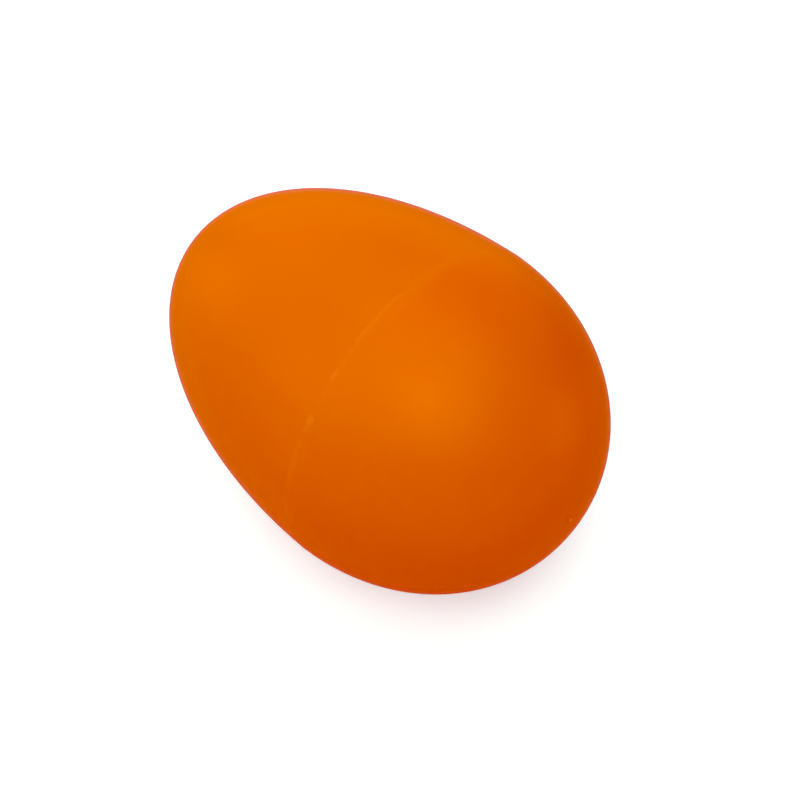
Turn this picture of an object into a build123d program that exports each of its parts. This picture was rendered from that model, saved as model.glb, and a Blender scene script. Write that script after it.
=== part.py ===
"""Egg shaker: two moulded half shells, welded at a lap joint and part filled with loose steel shot.

The egg lies on its side. Its long axis is X, with the blunt end towards +X and +Z up.
The origin is on the long axis, midway between the two poles. All sizes are in millimetres.
"""

from build123d import *
from math import sqrt
import os

# Outside of the egg
length = 60.0  # pole to pole, without the gate marks
diameter = 42.0  # across the seam, the widest place
blunt_share = 0.382  # of the length that lies on the blunt side of the seam
rim_lean = 0.043  # how much the blunt half's radius falls per millimetre as it leaves the seam

# Fullness of a half outline: how far its two inner Bezier points reach along the side and across the pole
side_fullness = 0.566
pole_fullness = 0.552

# Shells and the lap joint between them
wall = 2.0
lip_thickness = 0.85
lip_length = 2.4
lip_lead_in = 0.25  # chamfer that guides the lip into the socket
weld_gap = 0.10  # between all welded faces, filled by the weld
lip_end_gap = 0.10  # empty, so that the rims meet before the lip bottoms
rim_chamfer = 0.15  # on each rim's outer edge, so that the two make a groove
flash_height = 0.06  # how far the weld stands above the shells
weld_clearance = 0.01  # between the flash and the groove's sides

# Pin-point gate mark at each pole
gate_diameter = 0.7
gate_height = 0.15

# Steel shot
shot_diameter = 4.0
shot_clearance = 0.05  # to the cavity wall, at rest and at the top of a throw
shot_pitch = 4.12  # between neighbouring balls, seen from above
fill_level = -11.4  # height of the highest ball's centre
shot_rows = 6  # looked at on each side of the lowest ball, more than can fit
wall_samples = 200  # places along each half's wall where the shot's clearance is taken

# Derived sizes and places
seam_radius = diameter / 2
seam_x = length * (0.5 - blunt_share)
cavity_radius = seam_radius - wall
lip_radius = cavity_radius + lip_thickness
socket_radius = lip_radius + weld_gap
gate_end = length / 2 + gate_height
row_pitch = shot_pitch * sqrt(3) / 2
shot_reach = shot_diameter / 2 + shot_clearance

# Each half: the sign of X at its pole, and how fast its radius falls at the rim
blunt = (1, rim_lean)
pointed = (-1, 0.0)


def rim_x(sign):
    """Where the rim of the half on this side stands, half a weld gap from the seam."""
    return seam_x + sign * weld_gap / 2


def half_outline(half, inset):
    """The four Bezier points of one half's outline, from rim to pole, set in by `inset` from the outside."""
    sign, lean = half
    start = rim_x(sign)
    pole = sign * (length / 2 - inset)
    radius = seam_radius - inset
    along_side = side_fullness * (pole - start)
    return [
        (start, radius),
        (start + along_side, radius - lean * abs(along_side)),
        (pole, pole_fullness * radius),
        (pole, 0),
    ]


def wall_section(half):
    """The wall of one half, cut through along the long axis."""
    outside = half_outline(half, 0)
    inside = half_outline(half, wall)
    with BuildSketch(Plane.XY) as section:
        with BuildLine():
            Bezier(*outside)
            Line(outside[-1], inside[-1])
            Bezier(*inside)
            Line(inside[0], outside[0])
        make_face()
    return section.sketch


def plain_half(half):
    """One half with its rim chamfer and gate mark, before its side of the lap joint is made."""
    sign, lean = half
    with BuildPart() as plain:
        revolve(wall_section(half), axis=Axis.X)
        outer_rim = plain.edges().filter_by(GeomType.CIRCLE).sort_by(SortBy.RADIUS)[-1]
        chamfer(outer_rim, rim_chamfer)
        with BuildSketch(Plane.YZ.offset(sign * gate_end)):
            Circle(gate_diameter / 2)
        extrude(amount=-sign * 2 * gate_height)
    return plain.part


# Blunt half: a socket inside its rim takes the other half's lip
blunt_half = plain_half(blunt)
with BuildPart() as blunt_shell:
    add(blunt_half)
    with BuildSketch(Plane.YZ.offset(seam_x)):
        Circle(socket_radius)
    extrude(amount=lip_length + lip_end_gap, mode=Mode.SUBTRACT)

# Pointed half: a lip carries the inner part of its wall on past the seam
pointed_half = plain_half(pointed)
with BuildPart() as pointed_shell:
    add(pointed_half)
    with BuildSketch(Plane.YZ.offset(rim_x(-1))):
        Circle(lip_radius)
        Circle(cavity_radius, mode=Mode.SUBTRACT)
    extrude(amount=lip_length + weld_gap / 2)
    lip_end = pointed_shell.faces().filter_by(Axis.X).sort_by(Axis.X)[-1]
    chamfer(lip_end.edges().sort_by(SortBy.RADIUS)[-1], lip_lead_in)

# Weld: melted plastic that has set between the rims and along the lip, and stands in the groove as flash
groove_width = rim_chamfer - weld_clearance
groove_bottom = seam_radius - groove_width
weld_end = seam_x + lip_length - lip_lead_in
with BuildPart() as seam_weld:
    with BuildSketch(Plane.XY):
        with BuildLine():
            flash = ThreePointArc(
                (rim_x(-1) - groove_width, seam_radius),
                (seam_x, seam_radius + flash_height),
                (rim_x(1) + groove_width, seam_radius),
            )
            Polyline(
                flash @ 1,
                (rim_x(1), groove_bottom),
                (rim_x(1), socket_radius),
                (weld_end, socket_radius),
                (weld_end, lip_radius),
                (rim_x(-1), lip_radius),
                (rim_x(-1), groove_bottom),
                flash @ 0,
            )
        make_face()
    revolve(axis=Axis.X)

# Places of the shot: a hexagonal layout, one ball deep, that covers the lowest part of the cavity
with BuildLine(Plane.XY) as cavity_outline:
    Bezier(*half_outline(blunt, wall))
    Bezier(*half_outline(pointed, wall))
wall_points = [
    edge @ (step / wall_samples)
    for edge in cavity_outline.edges()
    for step in range(wall_samples + 1)
]


def free_radius(x):
    """How far from the long axis a ball's centre can go before the ball meets the cavity wall."""
    near = [point for point in wall_points if abs(point.X - x) < shot_reach]
    return min((point.Y - sqrt(shot_reach**2 - (point.X - x) ** 2) for point in near), default=0)


shot_centres = []
for row in range(-shot_rows, shot_rows + 1):
    for place in range(-shot_rows, shot_rows + 1):
        x = seam_x + (place + row % 2 / 2) * shot_pitch
        y = row * row_pitch
        lift = free_radius(x) ** 2 - y**2
        if lift > fill_level**2:
            shot_centres.append((x, y, -sqrt(lift)))

# Each ball is its own piece, because each one moves freely
shot = []
for x, y, z in shot_centres:
    with BuildPart() as ball:
        with Locations((x, y, z)):
            Sphere(shot_diameter / 2)
    ball.part.label = f"steel_shot_{len(shot) + 1:02d}"
    shot.append(ball)

blunt_shell.part.label = "blunt_shell"
pointed_shell.part.label = "pointed_shell"
seam_weld.part.label = "seam_weld"

os.makedirs("parts", exist_ok=True)
for piece in [blunt_shell, pointed_shell, seam_weld, *shot]:
    export_step(piece.part, f"parts/{piece.part.label}.step")
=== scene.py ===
"""The looks of the egg shaker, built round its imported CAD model.

Everything is in metres, in the CAD's own frame: the egg's long axis is X, its blunt end is towards +X, and
+Z is up. Turns round the egg are counted from its top towards the front, which is -Y.
"""
import math

import bmesh
import bpy
from mathutils import Matrix, Vector, noise


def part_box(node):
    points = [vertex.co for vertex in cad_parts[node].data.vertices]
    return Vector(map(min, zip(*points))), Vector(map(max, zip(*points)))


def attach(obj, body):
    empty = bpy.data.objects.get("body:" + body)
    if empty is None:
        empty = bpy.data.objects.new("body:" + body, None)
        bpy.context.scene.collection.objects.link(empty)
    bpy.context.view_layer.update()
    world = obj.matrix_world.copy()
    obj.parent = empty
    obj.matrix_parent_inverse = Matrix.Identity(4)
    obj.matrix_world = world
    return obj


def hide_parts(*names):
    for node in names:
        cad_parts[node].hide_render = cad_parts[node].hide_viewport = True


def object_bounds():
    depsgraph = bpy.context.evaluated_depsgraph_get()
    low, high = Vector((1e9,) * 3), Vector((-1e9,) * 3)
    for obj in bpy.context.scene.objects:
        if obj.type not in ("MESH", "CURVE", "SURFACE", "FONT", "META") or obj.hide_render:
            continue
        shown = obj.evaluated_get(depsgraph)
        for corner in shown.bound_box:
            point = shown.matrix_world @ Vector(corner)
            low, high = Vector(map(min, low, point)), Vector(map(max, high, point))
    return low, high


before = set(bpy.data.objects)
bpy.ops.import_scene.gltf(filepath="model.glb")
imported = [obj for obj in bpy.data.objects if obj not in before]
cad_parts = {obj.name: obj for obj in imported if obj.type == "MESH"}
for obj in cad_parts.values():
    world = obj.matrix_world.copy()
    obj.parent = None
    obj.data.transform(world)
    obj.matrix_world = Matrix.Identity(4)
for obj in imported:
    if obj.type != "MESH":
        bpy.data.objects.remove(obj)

cad_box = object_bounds()
MM = 0.001

# Sizes of the shells that the frame's boxes don't give
WALL = 2.0 * MM
LIP_THICKNESS = 0.85 * MM
LIP_LEAD_IN = 0.25 * MM
LIP_END_GAP = 0.10 * MM
WELD_GAP = 0.10 * MM
RIM_CHAMFER = 0.15 * MM
GATE_RADIUS = 0.35 * MM
GATE_HEIGHT = 0.15 * MM

# The rounded side of a gate mark, from its top down: shares of GATE_HEIGHT and of GATE_RADIUS
GATE_SIDE = [(1.0, 0.55), (0.8, 0.85), (0.2, 1.0), (0.0, 1.1)]
GATE_FOOT = 1.3 * GATE_RADIUS  # where the shell's own outline takes over
# The gate marks' pale colour is partly paler gate plastic and partly painted light that lifts the shade at
# the poles
GATE_PALE_CORE = 0.3 * GATE_RADIUS  # the mark's pale colour is full up to here
GATE_PALE_REACH = 1.1 * GATE_RADIUS  # and has gone here

# The shape of a half outline, a Bezier curve from rim to pole
RIM_LEAN = 0.043  # the slope at which the blunt half's radius falls as it leaves the rim
SIDE_FULLNESS = 0.566  # the curve's second point is this share of the way from rim to pole
POLE_FULLNESS = 0.552  # and its third is this share of the radius away from the axis

# Places from the frame
seam_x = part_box("blunt_shell")[0].x - WELD_GAP / 2
seam_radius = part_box("pointed_shell")[1].z
blunt_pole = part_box("blunt_shell")[1].x - GATE_HEIGHT
pointed_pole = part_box("pointed_shell")[0].x + GATE_HEIGHT
lip_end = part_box("pointed_shell")[1].x
cavity_radius = seam_radius - WALL
lip_radius = cavity_radius + LIP_THICKNESS
socket_radius = lip_radius + WELD_GAP

# How finely the pieces are made
AROUND = 384  # divisions of a shell round its axis
ALONG = 80  # divisions of a half outline from rim to pole
WELD_AROUND = 1600
CROWN_STEPS = 12  # divisions across the weld's raised outside
SHARP_ANGLE = math.radians(32)

# Flash smeared over the seam
FLASH_HEIGHT = 0.05 * MM
FLASH_LEAST = 0.15  # share of FLASH_HEIGHT where there is hardly any flash
FLASH_SINK = 0.01 * MM  # how far the flash's edges dip under the shells' skin
CROWN_POWER = 1.3  # makes the crown a little more peaked than a cosine
THIN_SPREAD = 0.30  # in mm to each side, between the runs
LONGEST_FADE = 1.5  # degrees that a run takes to fade in, or a third of its length if that is less

# Runs of flash: where each starts and ends, in degrees round the seam, how pale it is from 0 to 1, and in mm
# how far it spreads to each side and how far it lies off the seam towards the blunt end
# Their paleness is partly paler flash plastic and partly a painted highlight of the light the crown catches
FLASH_RUNS = [
    (-16, 5, 0.20, 1.10, 0.10),
    (7, 17, 0.45, 0.40, -0.17),
    (17, 27.5, 0.62, 0.42, -0.05),
    (29.5, 31, 0.60, 0.45, 0.0),
    (32, 36, 0.20, 0.60, 0.05),
    (37.3, 40.3, 1.0, 0.46, 0.15),
    (42, 51, 0.10, 0.60, 0.20),
    (52.3, 55.3, 1.0, 0.62, 0.28),
    (55.3, 58, 0.50, 0.50, 0.20),
    (60, 79, 0.32, 0.62, 0.05),
    (79, 92, 0.15, 0.60, 0.0),
]
UNSEEN_SIDE = (100, 340)  # degrees round the seam where the flash is faint noise

# Noise along the seam: how fast each one changes round the seam, and how strong it is
UNSEEN_NOISE = (9, 0.8)
PALENESS_NOISE = (60, 0.3)
HEIGHT_NOISE = (40, 0.4)
EDGE_NOISE = (70, 0.1)
UNSEEN_SHIFT = Vector((0, 0, 5.1))


def half_outline(sign, inset):
    """Points (x, radius) of one half's outline from its rim to its pole, set in by inset from the outside."""
    pole = (blunt_pole if sign > 0 else pointed_pole) - sign * inset
    start = seam_x + sign * WELD_GAP / 2
    radius = seam_radius - inset
    along_side = SIDE_FULLNESS * (pole - start)
    lean = RIM_LEAN if sign > 0 else 0.0
    points = [
        Vector((start, radius)),
        Vector((start + along_side, radius - lean * abs(along_side))),
        Vector((pole, POLE_FULLNESS * radius)),
        Vector((pole, 0.0)),
    ]
    outline = []
    for step in range(ALONG + 1):
        t = step / ALONG
        s = 1 - t
        weights = (s**3, 3 * s * s * t, 3 * s * t * t, t**3)
        outline.append(sum((w * p for w, p in zip(weights, points)), Vector((0.0, 0.0))))
    return outline


def ring_point(x, radius, turn):
    """The point at a turn, in radians, of the circle of that radius at x."""
    return (x, -radius * math.sin(turn), radius * math.cos(turn))


def add_piece(name, rings, closed=False):
    """A smooth-shaded piece skinned over rings of points. A ring of one point closes the skin to a pole."""
    shape = bmesh.new()
    loops = [[shape.verts.new(point) for point in ring] for ring in rings]
    pairs = list(zip(loops, loops[1:]))
    if closed:
        pairs.append((loops[-1], loops[0]))
    around = max(len(loop) for loop in loops)
    for near, far in pairs:
        for i in range(around):
            j = (i + 1) % around
            corners = [near[i % len(near)], near[j % len(near)], far[j % len(far)], far[i % len(far)]]
            shape.faces.new(list(dict.fromkeys(corners)))
    bmesh.ops.recalc_face_normals(shape, faces=shape.faces)
    for face in shape.faces:
        face.smooth = True
    for edge in shape.edges:
        edge.smooth = edge.calc_face_angle(0) < SHARP_ANGLE
    mesh = bpy.data.meshes.new(name)
    shape.to_mesh(mesh)
    shape.free()
    piece = bpy.data.objects.new(name, mesh)
    bpy.context.scene.collection.objects.link(piece)
    return piece


def lathe(name, profile):
    """A piece turned about the X axis from its (x, radius) profile, which starts and ends on the axis."""
    turns = [2 * math.pi * i / AROUND for i in range(AROUND)]
    rings = []
    for x, radius in profile:
        rings.append([ring_point(x, radius, turn) for turn in turns] if radius > 0 else [(x, 0, 0)])
    return add_piece(name, rings)


def shell_profile(sign, joint):
    """One half shell's wall: its gate mark, its outside, the joint at its rim and then its inside."""
    pole = blunt_pole if sign > 0 else pointed_pole
    rim = seam_x + sign * WELD_GAP / 2
    gate = [(pole + sign * GATE_HEIGHT, 0)]
    gate += [(pole + sign * GATE_HEIGHT * height, GATE_RADIUS * share) for height, share in GATE_SIDE]
    outside = [
        tuple(point)
        for point in reversed(half_outline(sign, 0))
        if point.y > GATE_FOOT and sign * (point.x - rim) > RIM_CHAMFER
    ]
    chamfer = [
        (rim + sign * RIM_CHAMFER, seam_radius - (RIM_LEAN if sign > 0 else 0) * RIM_CHAMFER),
        (rim, seam_radius - RIM_CHAMFER),
    ]
    inside = half_outline(sign, WALL)
    if sign > 0:
        inside = [point for point in inside if point.x > lip_end + LIP_END_GAP]
    return gate + outside + chamfer + joint + [tuple(point) for point in inside[:-1]] + [(inside[-1].x, 0)]


def blunt_shell():
    socket_end = lip_end + LIP_END_GAP
    entry = next(point for point in half_outline(1, WALL) if point.x > socket_end)
    joint = [
        (seam_x + WELD_GAP / 2, socket_radius),
        (socket_end, socket_radius),
        (socket_end, entry.y),
    ]
    return lathe("blunt_half", shell_profile(1, joint))


def pointed_shell():
    joint = [
        (seam_x - WELD_GAP / 2, lip_radius),
        (lip_end - LIP_LEAD_IN, lip_radius),
        (lip_end, lip_radius - LIP_LEAD_IN),
        (lip_end, cavity_radius),
    ]
    return lathe("pointed_half", shell_profile(-1, joint))


def skin_radius(x):
    """The radius of the shells' outside at x."""
    outline = blunt_outline if x > seam_x else pointed_outline
    for near, far in zip(outline, outline[1:]):
        if abs(x - seam_x) <= abs(far.x - seam_x):
            share = max(0, (x - near.x) / (far.x - near.x))
            return near.y + share * (far.y - near.y)


def smooth_step(low, high, value):
    t = min(1, max(0, (value - low) / (high - low)))
    return t * t * (3 - 2 * t)


def seam_noise(around, kind, shift=Vector((0, 0, 0))):
    """Noise at a place round the seam, of a kind given as how fast it changes and how strong it is."""
    fineness, strength = kind
    return strength * noise.noise(around * fineness + shift)


def flash_at(turn):
    """The flash at this turn: how pale it is, its spread and how far it lies off the seam."""
    degrees = math.degrees(turn)
    around = Vector((math.sin(turn), math.cos(turn), 0.0))
    pale, weight, spread, offset = 0.0, 0.0, 0.0, 0.0
    for start, end, strength, run_spread, run_offset in FLASH_RUNS:
        fade = min(LONGEST_FADE, (end - start) / 3)
        for here in (degrees - 360, degrees):
            started = smooth_step(start - fade, start + fade, here)
            ended = smooth_step(end - fade, end + fade, here)
            inside = started * (1 - ended)
            pale = max(pale, strength * inside)
            weight += inside
            spread += inside * run_spread
            offset += inside * run_offset
    if UNSEEN_SIDE[0] < degrees < UNSEEN_SIDE[1]:
        pale = max(0.0, seam_noise(around, UNSEEN_NOISE, UNSEEN_SHIFT))
    spread += max(0, 1 - weight) * THIN_SPREAD
    total = max(1, weight)
    return pale * (1 + seam_noise(around, PALENESS_NOISE)), spread / total * MM, offset / total * MM


def seam_weld():
    """The weld: a tongue that fills the lap joint, crowned outside by flash. Its paleness, partly paler
    plastic and partly a painted highlight on the crown, is an attribute.
    """
    groove_bottom = seam_radius - RIM_CHAMFER
    corners = [
        (seam_x + WELD_GAP / 2, groove_bottom),
        (seam_x + WELD_GAP / 2, socket_radius),
        (lip_end - LIP_LEAD_IN, socket_radius),
        (lip_end - LIP_LEAD_IN, lip_radius),
        (seam_x - WELD_GAP / 2, lip_radius),
        (seam_x - WELD_GAP / 2, groove_bottom),
    ]
    crown_rings = [[] for _ in range(CROWN_STEPS + 1)]
    paleness = [[] for _ in range(CROWN_STEPS + 1)]
    tongue_rings = [[] for _ in corners]
    for i in range(WELD_AROUND):
        turn = 2 * math.pi * i / WELD_AROUND
        around = Vector((math.sin(turn), math.cos(turn), 0.0))
        pale, spread, offset = flash_at(turn)
        height = FLASH_HEIGHT * (FLASH_LEAST + (1 - FLASH_LEAST) * pale)
        height *= 1 + seam_noise(around, HEIGHT_NOISE)
        for k in range(CROWN_STEPS + 1):
            across = -1 + 2 * k / CROWN_STEPS
            x = seam_x + offset + across * spread * (1 + seam_noise(around, EDGE_NOISE))
            crown = math.cos(across * math.pi / 2) ** CROWN_POWER
            radius = skin_radius(x) - FLASH_SINK + (height + FLASH_SINK) * crown
            crown_rings[k].append(ring_point(x, radius, turn))
            paleness[k].append(pale * crown)
        for ring, (x, radius) in zip(tongue_rings, corners):
            ring.append(ring_point(x, radius, turn))
    piece = add_piece("seam_flash", crown_rings + tongue_rings, closed=True)
    flash = piece.data.attributes.new("flash", "FLOAT", "POINT")
    flash.data.foreach_set("value", sum(paleness, []) + [0.0] * (WELD_AROUND * len(corners)))
    return piece


blunt_outline = half_outline(1, 0)
pointed_outline = half_outline(-1, 0)
blunt = blunt_shell()
pointed = pointed_shell()
weld = seam_weld()
for piece, cad_name, slot in (
    (blunt, "blunt_shell", "shell_plastic"),
    (pointed, "pointed_shell", "shell_plastic"),
    (weld, "seam_weld", "weld_plastic"),
):
    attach(piece, "shell")
    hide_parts(cad_name)


def node(tree, kind, **inputs):
    """A new shader node, with values or links given to its inputs.

    An input is given by its name, with spaces written as _, or by its number after the letter i.
    """
    made = tree.nodes.new(kind)
    for name, value in inputs.items():
        numbered = name[0] == "i" and name[1:].isdigit()
        socket = made.inputs[int(name[1:]) if numbered else name.replace("_", " ")]
        if isinstance(value, bpy.types.NodeSocket):
            tree.links.new(value, socket)
        else:
            socket.default_value = value
    return made


def new_material(name):
    material = bpy.data.materials.new(name)
    material.use_nodes = True
    return material, material.node_tree, material.node_tree.nodes["Principled BSDF"]


def map_range(tree, value, start, end, low=0.0, high=1.0):
    """The value mapped so that start gives low and end gives high, and no further."""
    mapped = node(tree, "ShaderNodeMapRange", Value=value, From_Min=start, From_Max=end)
    mapped.inputs["To Min"].default_value = low
    mapped.inputs["To Max"].default_value = high
    return mapped.outputs["Result"]


def calculate(tree, operation, first, second):
    maths = node(tree, "ShaderNodeMath", i0=first, i1=second)
    maths.operation = operation
    return maths.outputs[0]


def object_place(tree):
    return node(tree, "ShaderNodeTexCoord").outputs["Object"]


def noise_between(tree, low, high, **settings):
    """A noise texture whose middle range is spread over low to high."""
    texture = node(tree, "ShaderNodeTexNoise", Vector=object_place(tree), **settings)
    return map_range(tree, texture.outputs["Fac"], 0.3, 0.7, low, high)


def mix_colours(tree, share, first, second):
    mix = tree.nodes.new("ShaderNodeMix")
    mix.data_type = "RGBA"
    tree.links.new(share, mix.inputs[0])
    for socket, colour in ((mix.inputs[6], first), (mix.inputs[7], second)):
        if isinstance(colour, bpy.types.NodeSocket):
            tree.links.new(colour, socket)
        else:
            socket.default_value = (*colour, 1)
    return mix.outputs[2]


def scale_colour(colour, factor):
    return tuple(min(1, channel * factor) for channel in colour)


def near_point(tree, point, core, reach):
    """A mask that is 1 within the distance core of a point and falls smoothly to 0 at the distance reach."""
    apart = node(tree, "ShaderNodeVectorMath", i0=object_place(tree), i1=point)
    apart.operation = "DISTANCE"
    mask = node(tree, "ShaderNodeMapRange", Value=apart.outputs["Value"], From_Min=reach, From_Max=core)
    mask.interpolation_type = "SMOOTHSTEP"
    return mask.outputs["Result"]


# Colours are linear. The plastic's sheen is tinted too, differently where the surface turns away from the eye
ORANGE = (0.84, 0.135, 0.006)
MOTTLE = 0.015  # how much lighter and darker the flow mottling is
# Painted shade: the deeper orange of the patch by the seam's top stands in for the weaker sheen there
SHADE_PATCH_ORANGE = (0.84, 0.128, 0.006)
# Partly painted highlight: the flash's pale orange also stands in for the light its crown catches
PALE_AND_HIGHLIT_ORANGE = (0.90, 0.157, 0.008)
# Partly painted light: the gate marks' pale orange is also lifted to cancel the shade at the poles
PALE_AND_LIT_GATE_ORANGE = (1.0, 0.20, 0.02)
SHEEN = (1.0, 0.20, 0.01)
SIDE_SHEEN = (1.0, 0.235, 0.01)
RIM_SHEEN = (1.0, 0.22, 0.42)
SHEEN_CHANGES = [(SIDE_SHEEN, 0.45, 0.62), (RIM_SHEEN, 0.65, 0.95)]  # with the facings each one comes in over
PLASTIC_IOR = 1.54
MOST_SHEEN = 0.45  # what the sheen's share rises to where the surface turns away

# Painted shade: a patch of deeper orange on the blunt half, by the top of the seam, standing in for the
# weaker sheen reflected there
SHADE_PATCH_PLACE = ring_point(seam_x + 1 * MM, seam_radius, math.radians(-4))
SHADE_PATCH_CORE = 4 * MM
SHADE_PATCH_REACH = 13.5 * MM
SHADE_PATCH_START = 2 * MM  # from the seam to where the patch is at full strength


def painted_shade_patch(tree):
    """A mask of the painted shade patch, deeper orange standing in for weaker sheen, which fades in from the
    seam and out with distance.
    """
    along = node(tree, "ShaderNodeSeparateXYZ", Vector=object_place(tree))
    past_seam = map_range(tree, along.outputs["X"], seam_x, seam_x + SHADE_PATCH_START)
    return calculate(tree, "MULTIPLY", near_point(tree, SHADE_PATCH_PLACE, SHADE_PATCH_CORE, SHADE_PATCH_REACH), past_seam)


def plastic_colour(tree, pale):
    """Mottled orange with the painted shade patch, the pale gate marks and, if asked for, the pale flash; the
    gate marks and flash are partly painted light.
    """
    mottle = noise_between(tree, 0.0, 1.0, Scale=55.0, Detail=3.0, Roughness=0.5)
    colour = mix_colours(tree, mottle, scale_colour(ORANGE, 1 - MOTTLE), scale_colour(ORANGE, 1 + MOTTLE))
    # Painted shade: the deeper patch by the seam's top, standing in for weaker sheen
    colour = mix_colours(tree, painted_shade_patch(tree), colour, SHADE_PATCH_ORANGE)
    if pale:
        # The pale flash, partly paler plastic and partly a painted highlight on its crown
        flash = node(tree, "ShaderNodeAttribute")
        flash.attribute_name = "flash"
        colour = mix_colours(tree, flash.outputs["Fac"], colour, PALE_AND_HIGHLIT_ORANGE)
    # Pale gate marks, partly paler plastic and partly painted light lifting the shade at the poles
    for gate_top in (blunt_pole + GATE_HEIGHT, pointed_pole - GATE_HEIGHT):
        gate = near_point(tree, (gate_top, 0, 0), GATE_PALE_CORE, GATE_PALE_REACH)
        colour = mix_colours(tree, gate, colour, PALE_AND_LIT_GATE_ORANGE)
    return colour


def orange_plastic(name, pale=False):
    """Satin moulded plastic: a matt body with a fine spark-eroded grain, and an orange sheen over it."""
    material, tree, body = new_material(name)
    tree.links.new(plastic_colour(tree, pale), body.inputs["Base Color"])
    body.inputs["Specular IOR Level"].default_value = 0.0
    body.inputs["Roughness"].default_value = 1.0
    grain = noise_between(tree, 0.0, 1.0, Scale=3200.0, Detail=2.0, Roughness=0.5)
    bump = node(tree, "ShaderNodeBump", Height=grain, Strength=0.12, Distance=0.02 * MM).outputs["Normal"]
    tree.links.new(bump, body.inputs["Normal"])
    facing = node(tree, "ShaderNodeLayerWeight", Blend=0.5).outputs["Facing"]
    tint = SHEEN
    for next_tint, start, end in SHEEN_CHANGES:
        tint = mix_colours(tree, map_range(tree, facing, start, end), tint, next_tint)
    blur = noise_between(tree, 0.37, 0.43, Scale=260.0, Detail=4.0, Roughness=0.6)
    sheen = node(tree, "ShaderNodeBsdfGlossy", Color=tint, Roughness=blur, Normal=bump)
    fresnel = node(tree, "ShaderNodeFresnel", IOR=PLASTIC_IOR, Normal=bump)
    share = calculate(tree, "MINIMUM", fresnel.outputs[0], MOST_SHEEN)
    mix = node(tree, "ShaderNodeMixShader", i0=share, i1=body.outputs[0], i2=sheen.outputs[0])
    tree.links.new(mix.outputs[0], tree.nodes["Material Output"].inputs["Surface"])
    return material


DARK_STEEL = (0.50, 0.49, 0.48)
LIGHT_STEEL = (0.62, 0.61, 0.60)


def steel():
    """Tumbled steel shot: bright metal with a faint satin and fine random marks."""
    material, tree, surface = new_material("tumbled_steel")
    patches = noise_between(tree, 0.0, 1.0, Scale=900.0, Detail=3.0)
    tree.links.new(mix_colours(tree, patches, DARK_STEEL, LIGHT_STEEL), surface.inputs["Base Color"])
    surface.inputs["Metallic"].default_value = 1.0
    tree.links.new(noise_between(tree, 0.16, 0.34, Scale=2200.0, Detail=5.0), surface.inputs["Roughness"])
    marks = noise_between(tree, 0.0, 1.0, Scale=5200.0, Detail=4.0)
    bump = node(tree, "ShaderNodeBump", Height=marks, Strength=0.2, Distance=0.01 * MM)
    tree.links.new(bump.outputs["Normal"], surface.inputs["Normal"])
    return material


shell_material = orange_plastic("orange_plastic")
weld_material = orange_plastic("weld_plastic", pale=True)
steel_material = steel()
blunt.data.materials.append(shell_material)
pointed.data.materials.append(shell_material)
weld.data.materials.append(weld_material)
for name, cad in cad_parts.items():
    if name.startswith("steel_shot"):
        cad.data.materials.clear()
        cad.data.materials.append(steel_material)

# The camera looks from in front, above and the blunt end at a place near the seam's middle. The azimuth turns
# it from the front towards the blunt end
CAMERA_AZIMUTH = math.radians(44.28)
CAMERA_ELEVATION = math.radians(49.34)
CAMERA_DISTANCE = 175.16 * MM
CAMERA_LENS = 67.7
CAMERA_CLIP = 10 * MM
AIM_RIGHT = -2.20 * MM  # how far the place it looks at is from the seam's middle, across the picture
AIM_UP = 0.92 * MM  # and up it


def add_camera():
    turn, rise = CAMERA_AZIMUTH, CAMERA_ELEVATION
    right = Vector((math.cos(turn), math.sin(turn), 0))
    back = Vector((math.sin(turn) * math.cos(rise), -math.cos(turn) * math.cos(rise), math.sin(rise)))
    up = back.cross(right)
    place = Vector((seam_x, 0, 0)) + AIM_RIGHT * right + AIM_UP * up + CAMERA_DISTANCE * back
    camera = bpy.data.objects.new("camera", bpy.data.cameras.new("camera"))
    bpy.context.scene.collection.objects.link(camera)
    camera.matrix_world = Matrix.Translation(place) @ Matrix((right, up, back)).transposed().to_4x4()
    camera.data.lens = CAMERA_LENS
    camera.data.clip_start = CAMERA_CLIP
    bpy.context.scene.camera = camera


add_camera()

FLOOR_SIDE = 3.0
FLOOR_Z = cad_box[0].z
FLOOR_BOUNCE = 0.88  # how pale the floor is to the light it throws back on the egg
FLOOR_SEEN = (0.80, 1, 1, 1)  # how the camera sees it, a little cold to offset the egg's orange glow
FLOOR_GLOW = 0.45  # brightness added to what the camera sees
SWEEP_START = 0.12  # from here outwards the floor brightens into the white backdrop
SWEEP_END = 0.45


def floor_material():
    """A pale floor that fades into the backdrop. It is clear from below, so that the egg can be seen."""
    material = bpy.data.materials.new("pale_floor")
    material.use_nodes = True
    tree = material.node_tree
    tree.nodes.clear()
    away = node(tree, "ShaderNodeVectorMath", i0=object_place(tree))
    away.operation = "LENGTH"
    brightness = map_range(tree, away.outputs["Value"], SWEEP_START, SWEEP_END, FLOOR_GLOW, 1.0)
    glow = node(tree, "ShaderNodeEmission", Color=(1, 1, 1, 1), Strength=brightness)
    lit = node(tree, "ShaderNodeBsdfDiffuse", Color=FLOOR_SEEN)
    seen = node(tree, "ShaderNodeAddShader", i0=lit.outputs[0], i1=glow.outputs[0])
    bounce = node(tree, "ShaderNodeBsdfDiffuse", Color=(FLOOR_BOUNCE, FLOOR_BOUNCE, FLOOR_BOUNCE, 1))
    to_camera = node(tree, "ShaderNodeLightPath").outputs["Is Camera Ray"]
    above = node(tree, "ShaderNodeMixShader", i0=to_camera, i1=bounce.outputs[0], i2=seen.outputs[0])
    clear = node(tree, "ShaderNodeBsdfTransparent")
    from_below = node(tree, "ShaderNodeNewGeometry").outputs["Backfacing"]
    surface = node(tree, "ShaderNodeMixShader", i0=from_below, i1=above.outputs[0], i2=clear.outputs[0])
    node(tree, "ShaderNodeOutputMaterial", Surface=surface.outputs[0])
    return material


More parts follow.
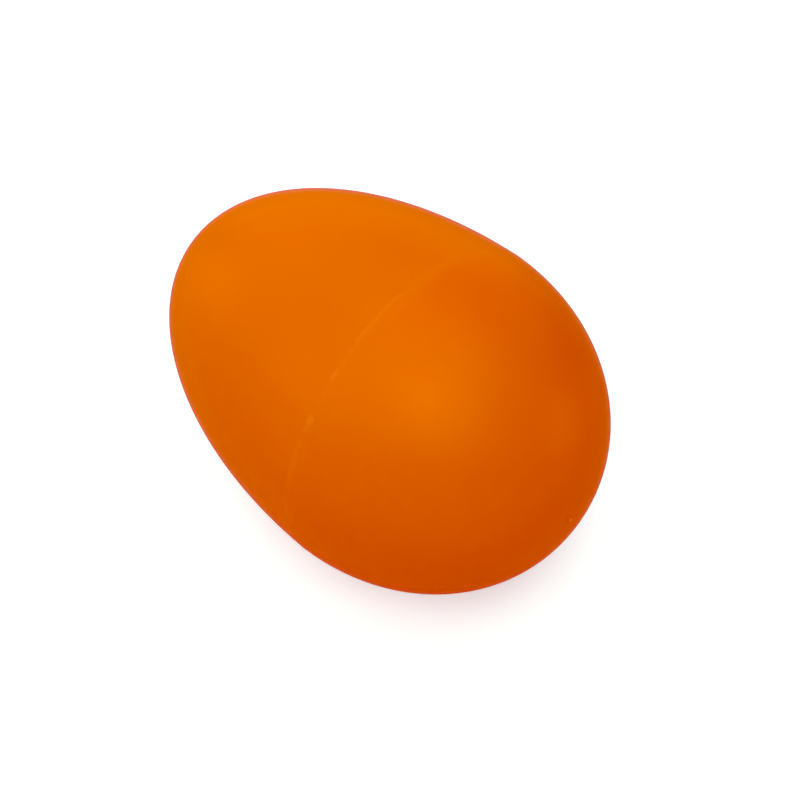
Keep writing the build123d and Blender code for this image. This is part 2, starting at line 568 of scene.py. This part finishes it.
def add_floor():
    mesh = bpy.data.meshes.new("floor")
    reach = FLOOR_SIDE / 2
    corners = [(-reach, -reach), (reach, -reach), (reach, reach), (-reach, reach)]
    mesh.from_pydata([(x, y, FLOOR_Z) for x, y in corners], [], [(0, 1, 2, 3)])
    mesh.materials.append(floor_material())
    floor = bpy.data.objects.new("floor", mesh)
    bpy.context.scene.collection.objects.link(floor)


add_floor()

# Soft lights: name, azimuth from +X towards +Y and elevation in degrees, distance and width in metres, watts
LIGHTS = [
    ("overhead_softbox", 0, 90, 0.6, 0.7, 1.95),
    ("key_softbox", -35, 50, 0.6, 0.4, 0.60),
    ("key_side_softbox", -90, 50, 0.6, 0.4, 0.48),
    ("key_hotspot", -52, 56, 0.6, 0.25, 0.44),
    ("front_softbox", -120, 30, 0.7, 0.4, 0.5),
    ("left_softbox", 178, 30, 0.7, 0.4, 0.34),
    ("left_strip", -165, 8, 0.7, 0.3, 0.5),
    ("fill_softbox", 150, 12, 0.7, 0.5, 0.74),
    ("rear_softbox", 120, 12, 0.7, 0.4, 0.4),
    ("back_softbox", 100, 20, 0.7, 0.5, 0.46),
    ("right_strip", 40, 6, 0.7, 0.3, 0.6),
]
AMBIENT = 0.03  # the backdrop's light on the scene, while the camera sees it white


def add_lights():
    centre = Vector((seam_x, 0, 0))
    for name, azimuth, elevation, distance, width, watts in LIGHTS:
        turn, rise = math.radians(azimuth), math.radians(elevation)
        level = math.cos(rise)
        towards = Vector((level * math.cos(turn), level * math.sin(turn), math.sin(rise)))
        light = bpy.data.lights.new(name, "AREA")
        light.shape = "DISK"
        light.size = width
        light.energy = watts
        lamp = bpy.data.objects.new(name, light)
        bpy.context.scene.collection.objects.link(lamp)
        lamp.location = centre + distance * towards
        lamp.rotation_mode = "QUATERNION"
        lamp.rotation_quaternion = towards.to_track_quat("Z", "Y")


def add_backdrop():
    world = bpy.data.worlds.new("studio")
    world.use_nodes = True
    tree = world.node_tree
    background = tree.nodes["Background"]
    background.inputs["Color"].default_value = (1, 1, 1, 1)
    to_camera = node(tree, "ShaderNodeLightPath").outputs["Is Camera Ray"]
    tree.links.new(map_range(tree, to_camera, 0.0, 1.0, AMBIENT, 1.0), background.inputs["Strength"])
    bpy.context.scene.world = world


add_lights()
add_backdrop()

# The camera's response to colour: green gains contrast where orange has it, and a trace of blue is lost
GREEN_RESPONSE = [(0.055, 0.012), (0.0935, 0.0663), (0.1390, 0.1664), (0.25, 0.29), (0.5, 0.5)]
BLUE_RESPONSE = [(0.05, 0.0), (0.15, 0.11), (0.3, 0.3)]


def set_response():
    view = bpy.context.scene.view_settings
    view.view_transform = "Standard"
    view.use_curve_mapping = True
    mapping = view.curve_mapping
    mapping.initialize()
    for curve, points in ((mapping.curves[1], GREEN_RESPONSE), (mapping.curves[2], BLUE_RESPONSE)):
        for light_in, light_out in points:
            curve.points.new(light_in, light_out)
    mapping.update()


set_response()
